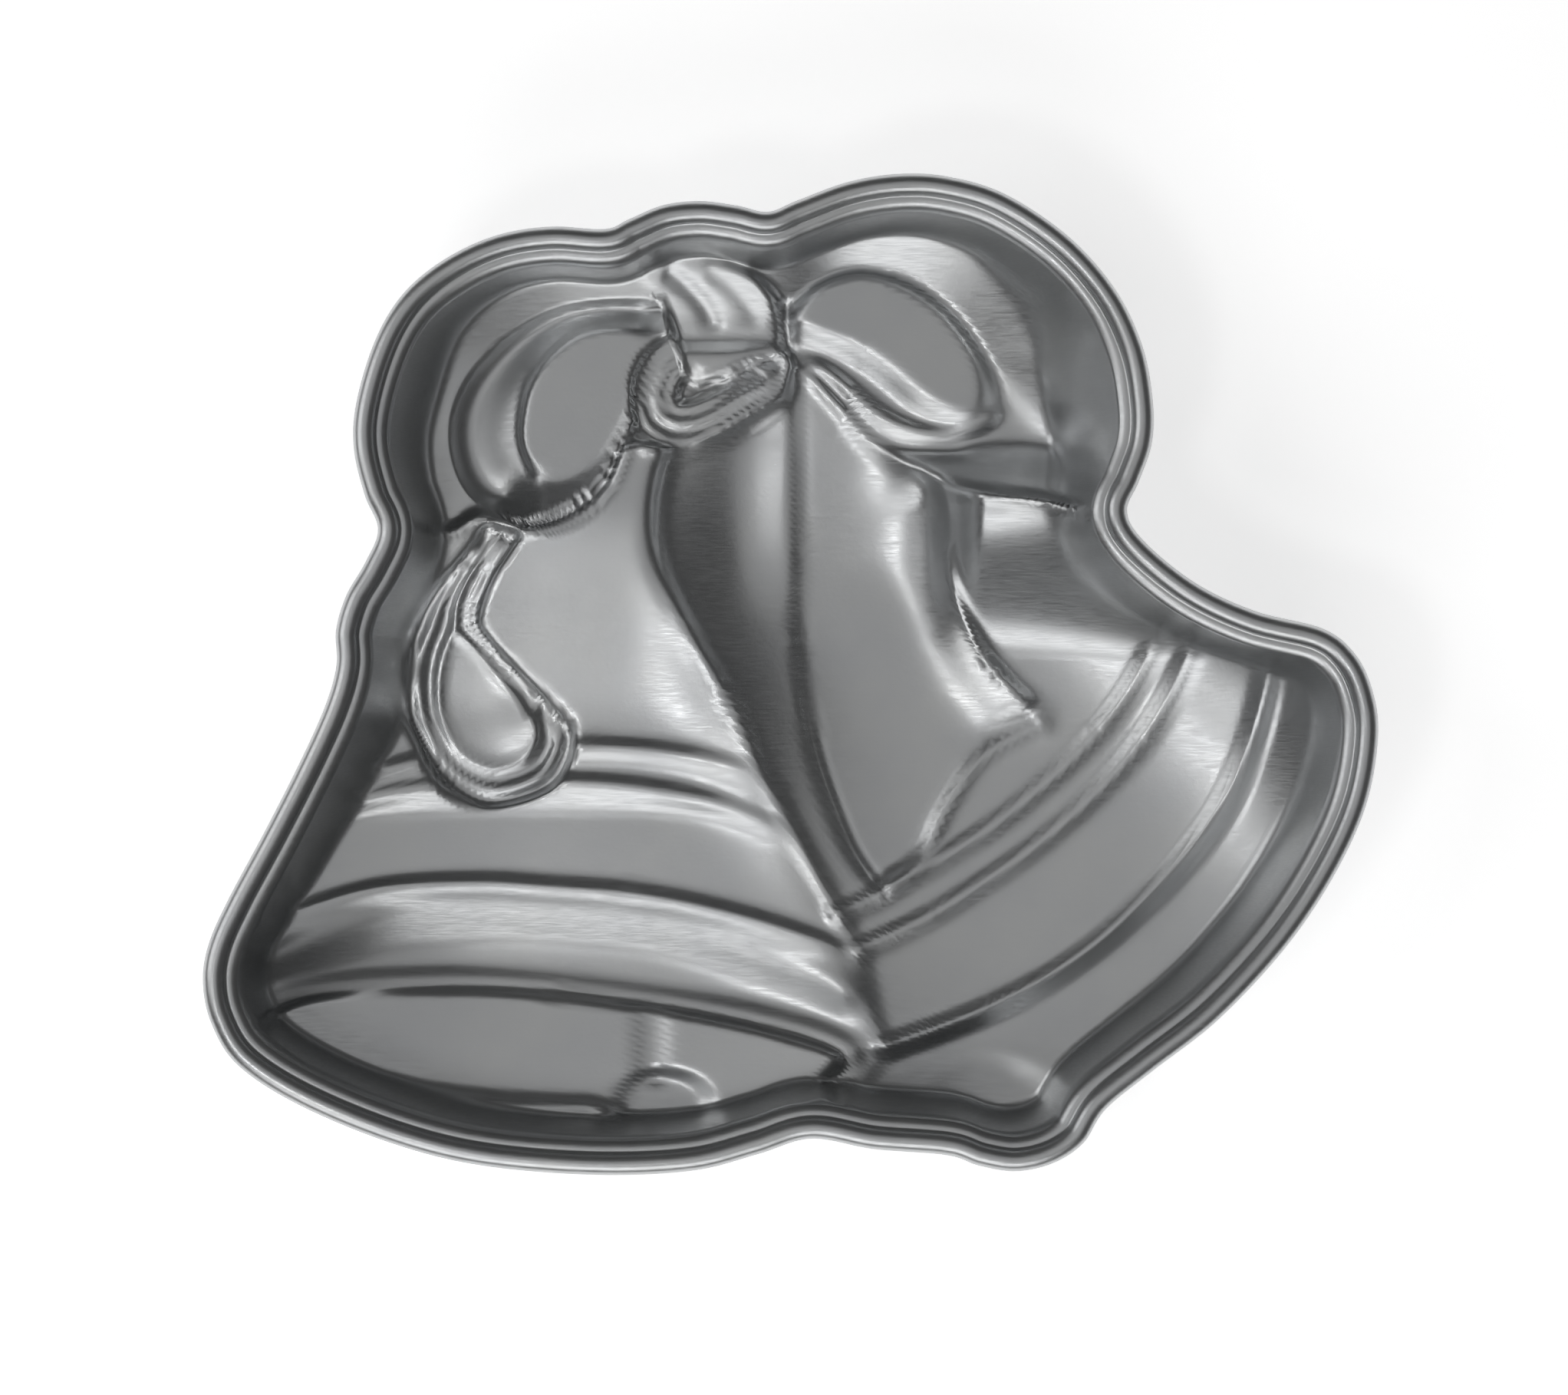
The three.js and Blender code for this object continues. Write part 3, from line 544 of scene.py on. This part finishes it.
def inside_height(x, y):
    """Height of the inside surface anywhere within the ledge."""
    z = bow(ribbon_tail(bells(x, y), x, y), x, y) - FLOOR_DROP
    pressed = np.clip(rounded_max(z, SHEET, FLOOR_ROUNDING), SHEET, LEDGE_Z)
    return mix(pressed, LEDGE_Z, wall_share(x, y))


# ---- the sheet -----------------------------------------------------------------------------


def inset_outline(turn, inwards):
    """Points of the outline at a share of the way round, moved inwards."""
    outline = smooth_line(OUTLINE, True, OUTLINE_STEPS)
    places = np.linspace(0, 1, len(outline))
    slope = np.gradient(outline[:, :2], axis=0)
    slope[0] = slope[-1] = outline[1, :2] - outline[-2, :2]
    tx, ty = (np.interp(turn, places, slope[:, k]) for k in (0, 1))
    x, y = (np.interp(turn, places, outline[:, k]) for k in (0, 1))
    size = np.hypot(tx, ty)
    return x - ty / size * inwards, y + tx / size * inwards


def ring_and_turn(a, b):
    """Which ring of the square grid a point is on, and its share of the way round."""
    wide = np.abs(a) >= np.abs(b)
    lead, other = np.where(wide, a, b), np.where(wide, b, a)
    eighth = other / np.where(lead == 0, 1, lead) / 8
    turn = np.where(wide, eighth, 0.25 - eighth) + np.where(lead < 0, 0.5, 0)
    return np.abs(lead), turn % 1


def plan_of_grid(a, b):
    """Lays the square grid over the plan, with closer rows towards the wall."""
    ring, turn = ring_and_turn(a, b)
    spread = 1 - (1 - ring) ** RING_SPREAD
    ex, ey = inset_outline(turn, LEDGE_IN)
    return mix(GRID_CENTRE[0], ex, spread), mix(GRID_CENTRE[1], ey, spread), ring, turn


def gather(x, y, line):
    """Draws points near a pressed line closer to it, so that its crease stays crisp."""
    distance, _, along = nearest(line, x, y, GATHER_FROM)
    places = np.linspace(0, 1, len(line))
    lx, ly = (np.interp(along, places, line[:, k]) for k in (0, 1))
    pull = GATHER_PULL * bump(np.minimum(distance, FAR_OFF), GATHER_REACH)
    return x + (lx - x) * pull, y + (ly - y) * pull


def rim_section():
    """Ledge, over the bead, round the curl, back inside it and under the ledge."""

    def arc(radius, first, last, steps):
        angles = np.radians(np.linspace(first, last, steps + 1))
        high = RIM_TOP - BEAD_R
        return [(BEAD_R + radius * math.cos(k), high + radius * math.sin(k)) for k in angles]

    under = LEDGE_Z - BEAD_SHEET
    outside = arc(BEAD_R, CURL_START, CURL_END, OUTER_ARC_STEPS)
    inside = arc(BEAD_R - BEAD_SHEET, CURL_END, CURL_START, INNER_ARC_STEPS)
    return [LEDGE_CORNER] + outside + inside + [(SLOT_EDGE_IN, under), (LEDGE_IN, under)]


def finished_object(bm, name, material):
    """Turns a bmesh in millimetres into a smooth-shaded object of the frame, in metres."""
    bmesh.ops.scale(bm, vec=(MM, MM, MM), verts=bm.verts)
    for face in bm.faces:
        face.smooth = True
    mesh = bpy.data.meshes.new(name)
    bm.to_mesh(mesh)
    bm.free()
    mesh.materials.append(material)
    obj = bpy.data.objects.new(name, mesh)
    bpy.context.scene.collection.objects.link(obj)
    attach(obj, "root")
    return obj


def plan_shift():
    """How far the outline's middle lies from the frame's origin."""
    outline = smooth_line(OUTLINE, True, OUTLINE_STEPS)[:, :2]
    return -(outline.min(0) + outline.max(0)) / 2


def put(verts, x, y, z):
    """Moves vertices to the places given."""
    for v, px, py, pz in zip(verts, x, y, z):
        v.co = (px, py, pz)


def build_sheet():
    """The whole sheet: pressed top, underside, ledge and rolled bead, closed all round."""
    bm = bmesh.new()
    turn_of = bm.verts.layers.float.new("turn")
    bmesh.ops.create_grid(bm, x_segments=GRID, y_segments=GRID, size=1.0)
    top = list(bm.verts)
    flat = np.array([v.co[:2] for v in top])
    x, y, ring, turn = plan_of_grid(
        np.round(flat[:, 0] * GRID / 2) * 2 / GRID, np.round(flat[:, 1] * GRID / 2) * 2 / GRID
    )
    edge = ring > 1 - 0.5 / GRID
    gx, gy = x, y
    for points, closed in GATHERED:
        gx, gy = gather(gx, gy, smooth_line(points, closed))
    x, y = np.where(edge, x, gx), np.where(edge, y, gy)
    z = np.where(edge, LEDGE_Z, inside_height(x, y))
    put(top, x, y, z)
    for v, share in zip(top, turn):
        v[turn_of] = share
    bm.normal_update()
    lean = np.array([max(v.normal.z, 1 / MOST_DROP) for v in top])
    under_z = np.where(edge, LEDGE_Z - BEAD_SHEET, np.maximum(z - SHEET / lean, 0))
    copied = bmesh.ops.duplicate(bm, geom=bm.verts[:] + bm.edges[:] + bm.faces[:])
    under = [copied["vert_map"][v] for v in top]
    put(under, x, y, under_z)
    under_faces = [g for g in copied["geom"] if isinstance(g, bmesh.types.BMFace)]
    bmesh.ops.reverse_faces(bm, faces=under_faces)
    under_set = set(under)
    loop = [e for e in bm.edges if e.is_boundary and e.verts[0] not in under_set]
    for inwards, height in rim_section():
        made = bmesh.ops.extrude_edge_only(bm, edges=loop)["geom"]
        fresh = [g for g in made if isinstance(g, bmesh.types.BMVert)]
        loop = [g for g in made if isinstance(g, bmesh.types.BMEdge)]
        fresh_turn = np.array([v[turn_of] for v in fresh])
        fx, fy = inset_outline(fresh_turn, inwards)
        put(fresh, fx, fy, np.full(len(fresh), height))
    seam = [v for v in bm.verts if v.is_boundary]
    bmesh.ops.remove_doubles(bm, verts=seam, dist=SEAM_REACH)
    sx, sy = plan_shift()
    bmesh.ops.translate(bm, vec=(sx, sy, 0), verts=bm.verts)
    return bm


def build_wire():
    """The round wire inside the bead: a ring of cross-sections swept round the outline."""
    bm = bmesh.new()
    turns = np.arange(WIRE_STEPS) / WIRE_STEPS
    rows = []
    for k in range(WIRE_SIDES):
        angle = 2 * math.pi * k / WIRE_SIDES
        inwards = BEAD_R + WIRE_R * math.cos(angle)
        x, y = inset_outline(turns, np.full(len(turns), inwards))
        height = RIM_TOP - BEAD_R + WIRE_R * math.sin(angle)
        row = [bm.verts.new((px, py, height)) for px, py in zip(x, y)]
        rows.append([bm.edges.new((a, b)) for a, b in zip(row, row[1:] + row[:1])])
    for one, other in zip(rows, rows[1:] + rows[:1]):
        bmesh.ops.bridge_loops(bm, edges=one + other)
    bmesh.ops.recalc_face_normals(bm, faces=bm.faces)
    sx, sy = plan_shift()
    bmesh.ops.translate(bm, vec=(sx, sy, 0), verts=bm.verts)
    return bm


# ---- materials -----------------------------------------------------------------------------


def linear(hex_colour):
    """An sRGB hex colour as linear red, green, blue and alpha."""
    parts = [int(hex_colour[k : k + 2], 16) / 255 for k in (1, 3, 5)]
    return tuple(c / 12.92 if c <= 0.04045 else ((c + 0.055) / 1.055) ** 2.4 for c in parts) + (1,)


def add_node(tree, kind, settings=None, inputs=None, links=None):
    """Adds a node, sets its properties and input values, and links its inputs."""
    node = tree.nodes.new(kind)
    for key, value in (settings or {}).items():
        setattr(node, key, value)
    for key, value in (inputs or {}).items():
        node.inputs[key].default_value = value
    for key, socket in (links or {}).items():
        tree.links.new(socket, node.inputs[key])
    return node


def new_material(name):
    """An empty node material and its tree."""
    material = bpy.data.materials.new(name)
    material.use_nodes = True
    tree = material.node_tree
    tree.nodes.clear()
    return material, tree


def pressed_aluminium(look):
    """Pressed aluminium sheet, 3003 alloy with a rolled satin skin.

    It reads as a soft grey mirror: wide, slightly streaked highlights along the rolling
    direction, cloudy patches of cooler and warmer grey, and fine scuffs from use.
    """
    material, tree = new_material("pressed_satin_aluminium")
    place = add_node(tree, "ShaderNodeTexCoord").outputs["Object"]
    clouds = add_node(
        tree,
        "ShaderNodeTexNoise",
        inputs={"Scale": 1 / (CLOUD_MM * MM), "Detail": 3.0, "Roughness": 0.55},
        links={"Vector": place},
    )
    tint = add_node(
        tree,
        "ShaderNodeMix",
        settings={"data_type": "RGBA"},
        inputs={"A": linear(COOL_ALUMINIUM), "B": tuple(look.aluminium)},
        links={"Factor": clouds.outputs["Fac"]},
    )
    stretched = add_node(
        tree,
        "ShaderNodeMapping",
        inputs={
            "Rotation": (0, 0, math.radians(ROLLING_ANGLE)),
            "Scale": (1, GRAIN_STRETCH, 1),
        },
        links={"Vector": place},
    )
    grain = add_node(
        tree,
        "ShaderNodeTexNoise",
        inputs={
            "Scale": 1 / (GRAIN_MM * GRAIN_STRETCH * MM),
            "Detail": 2.0,
            "Roughness": 0.6,
        },
        links={"Vector": stretched.outputs["Vector"]},
    )
    pebble = add_node(
        tree,
        "ShaderNodeTexNoise",
        inputs={"Scale": 1 / (PEBBLE_MM * MM), "Detail": 2.0},
        links={"Vector": place},
    )
    gloss = add_node(
        tree,
        "ShaderNodeMapRange",
        inputs={
            "From Min": 0.3,
            "From Max": 0.7,
            "To Min": look.roughness - 0.05,
            "To Max": look.roughness + 0.07,
        },
        links={"Value": grain.outputs["Fac"]},
    )
    skin = add_node(
        tree,
        "ShaderNodeBump",
        inputs={"Strength": 0.10, "Distance": 0.05 * MM},
        links={"Height": grain.outputs["Fac"]},
    )
    skin = add_node(
        tree,
        "ShaderNodeBump",
        inputs={"Strength": 0.20, "Distance": 0.08 * MM},
        links={"Height": pebble.outputs["Fac"], "Normal": skin.outputs["Normal"]},
    )
    shader = add_node(
        tree,
        "ShaderNodeBsdfPrincipled",
        inputs={"Metallic": 1.0},
        links={
            "Base Color": tint.outputs["Result"],
            "Roughness": gloss.outputs["Result"],
            "Normal": skin.outputs["Normal"],
        },
    )
    add_node(tree, "ShaderNodeOutputMaterial", links={"Surface": shader.outputs["BSDF"]})
    return material


def drawn_wire(look):
    """Drawn steel wire: dull grey, with a gloss that varies in fine noise."""
    material, tree = new_material("drawn_steel_wire")
    place = add_node(tree, "ShaderNodeTexCoord").outputs["Object"]
    lines = add_node(
        tree,
        "ShaderNodeTexNoise",
        inputs={"Scale": 1 / (GRAIN_MM * MM), "Detail": 2.0},
        links={"Vector": place},
    )
    gloss = add_node(
        tree,
        "ShaderNodeMapRange",
        inputs={"To Min": 0.38, "To Max": 0.55},
        links={"Value": lines.outputs["Fac"]},
    )
    shader = add_node(
        tree,
        "ShaderNodeBsdfPrincipled",
        inputs={"Metallic": 1.0, "Base Color": tuple(look.wire)},
        links={"Roughness": gloss.outputs["Result"]},
    )
    add_node(tree, "ShaderNodeOutputMaterial", links={"Surface": shader.outputs["BSDF"]})
    return material


def matt_paper(look):
    """Matt seamless paper: even and almost white, with no gloss."""
    material, tree = new_material("matt_studio_paper")
    shader = add_node(
        tree,
        "ShaderNodeBsdfPrincipled",
        inputs={
            "Base Color": tuple(look.floor),
            "Roughness": 0.9,
            "Emission Color": tuple(look.floor),
            "Emission Strength": FLOOR_GLOW,
        },
    )
    add_node(tree, "ShaderNodeOutputMaterial", links={"Surface": shader.outputs["BSDF"]})
    return material


# ---- the stage -----------------------------------------------------------------------------


def softbox(name, azimuth, tilt, distance, wide, high, radiance):
    """A rectangular light that looks at the pan. Tilt is measured from straight overhead."""
    light = bpy.data.lights.new(name, "AREA")
    light.shape = "RECTANGLE"
    light.size = wide
    light.size_y = high
    light.energy = radiance * math.pi * wide * high
    lamp = bpy.data.objects.new(name, light)
    a, t = math.radians(azimuth), math.radians(tilt)
    way = Vector((math.sin(t) * math.cos(a), math.sin(t) * math.sin(a), math.cos(t)))
    lamp.location = way * distance
    lamp.rotation_euler = way.to_track_quat("Z", "Y").to_euler()
    bpy.context.scene.collection.objects.link(lamp)


def build_stage(look):
    """Pale floor, softboxes, even room light and the camera straight above."""
    bm = bmesh.new()
    bmesh.ops.create_grid(bm, x_segments=1, y_segments=1, size=FLOOR_HALF)
    mesh = bpy.data.meshes.new("floor")
    bm.to_mesh(mesh)
    bm.free()
    mesh.materials.append(matt_paper(look))
    floor = bpy.data.objects.new("floor", mesh)
    bpy.context.scene.collection.objects.link(floor)
    for box in SOFTBOXES:
        softbox(*box)
    world = bpy.data.worlds.new("studio")
    bpy.context.scene.world = world
    world.use_nodes = True
    background = world.node_tree.nodes["Background"]
    background.inputs["Color"].default_value = linear("#FFFFFF")
    background.inputs["Strength"].default_value = look.room_light
    camera = bpy.data.cameras.new("camera")
    camera.sensor_width = SENSOR_WIDTH
    camera.lens = SENSOR_WIDTH * CAMERA_HEIGHT / FRAME_WIDTH
    camera.clip_end = CAMERA_SEES
    eye = bpy.data.objects.new("camera", camera)
    eye.location = (FRAME_CENTRE[0], FRAME_CENTRE[1], RIM_TOP * MM + CAMERA_HEIGHT)
    bpy.context.scene.collection.objects.link(eye)
    bpy.context.scene.camera = eye
    bpy.context.scene.view_settings.view_transform = "Standard"


# ---- the add-on ----------------------------------------------------------------------------


class PanLook(bpy.types.PropertyGroup):
    """Colours and finish that a user would change."""

    aluminium: bpy.props.FloatVectorProperty(
        name="Aluminium",
        description="Colour of the pressed sheet",
        subtype="COLOR",
        size=4,
        min=0,
        max=1,
        default=linear("#C9CAC9"),
    )
    roughness: bpy.props.FloatProperty(
        name="Roughness",
        description="How matt the sheet is",
        subtype="FACTOR",
        min=0.1,
        max=0.7,
        default=0.34,
    )
    wire: bpy.props.FloatVectorProperty(
        name="Wire",
        description="Colour of the wire in the rim",
        subtype="COLOR",
        size=4,
        min=0,
        max=1,
        default=linear("#A9ABAF"),
    )
    floor: bpy.props.FloatVectorProperty(
        name="Floor",
        description="Colour of the studio floor",
        subtype="COLOR",
        size=4,
        min=0,
        max=1,
        default=linear("#FFFFFF"),
    )
    room_light: bpy.props.FloatProperty(
        name="Room light",
        description="Strength of the even light all round",
        min=0,
        max=3,
        default=0.07,
    )


class CAKEPAN_OT_sheet(bpy.types.Operator):
    """Builds the pressed sheet with its ledge and rolled rim."""

    bl_idname = "cakepan.sheet"
    bl_label = "Pressed sheet"

    def execute(self, context):
        look = context.scene.pan_look
        sheet = finished_object(build_sheet(), "pressed_sheet", pressed_aluminium(look))
        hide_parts("pan_sheet")
        return {"FINISHED"}


class CAKEPAN_OT_wire(bpy.types.Operator):
    """Builds the wire that the rim is rolled over."""

    bl_idname = "cakepan.wire"
    bl_label = "Rim wire"

    def execute(self, context):
        look = context.scene.pan_look
        wire = finished_object(build_wire(), "rolled_in_wire", drawn_wire(look))
        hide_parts("rim_wire")
        return {"FINISHED"}


class CAKEPAN_OT_stage(bpy.types.Operator):
    """Sets up the floor, the lights and the camera."""

    bl_idname = "cakepan.stage"
    bl_label = "Studio"

    def execute(self, context):
        build_stage(context.scene.pan_look)
        return {"FINISHED"}


class CAKEPAN_PT_panel(bpy.types.Panel):
    """Lists the pan's pieces and its colours."""

    bl_label = "Two-bells cake pan"
    bl_idname = "CAKEPAN_PT_panel"
    bl_space_type = "VIEW_3D"
    bl_region_type = "UI"
    bl_category = "Cake pan"

    def draw(self, context):
        for operator in OPERATORS:
            self.layout.operator(operator.bl_idname)
        for prop in PanLook.__annotations__:
            self.layout.prop(context.scene.pan_look, prop)


OPERATORS = (CAKEPAN_OT_sheet, CAKEPAN_OT_wire, CAKEPAN_OT_stage)
CLASSES = (PanLook, *OPERATORS, CAKEPAN_PT_panel)


def register():
    for cls in CLASSES:
        bpy.utils.register_class(cls)
    bpy.types.Scene.pan_look = bpy.props.PointerProperty(type=PanLook)


def unregister():
    del bpy.types.Scene.pan_look
    for cls in reversed(CLASSES):
        bpy.utils.unregister_class(cls)


def main():
    register()
    bpy.ops.cakepan.sheet()
    bpy.ops.cakepan.wire()
    bpy.ops.cakepan.stage()


if __name__ == "__main__":
    main()
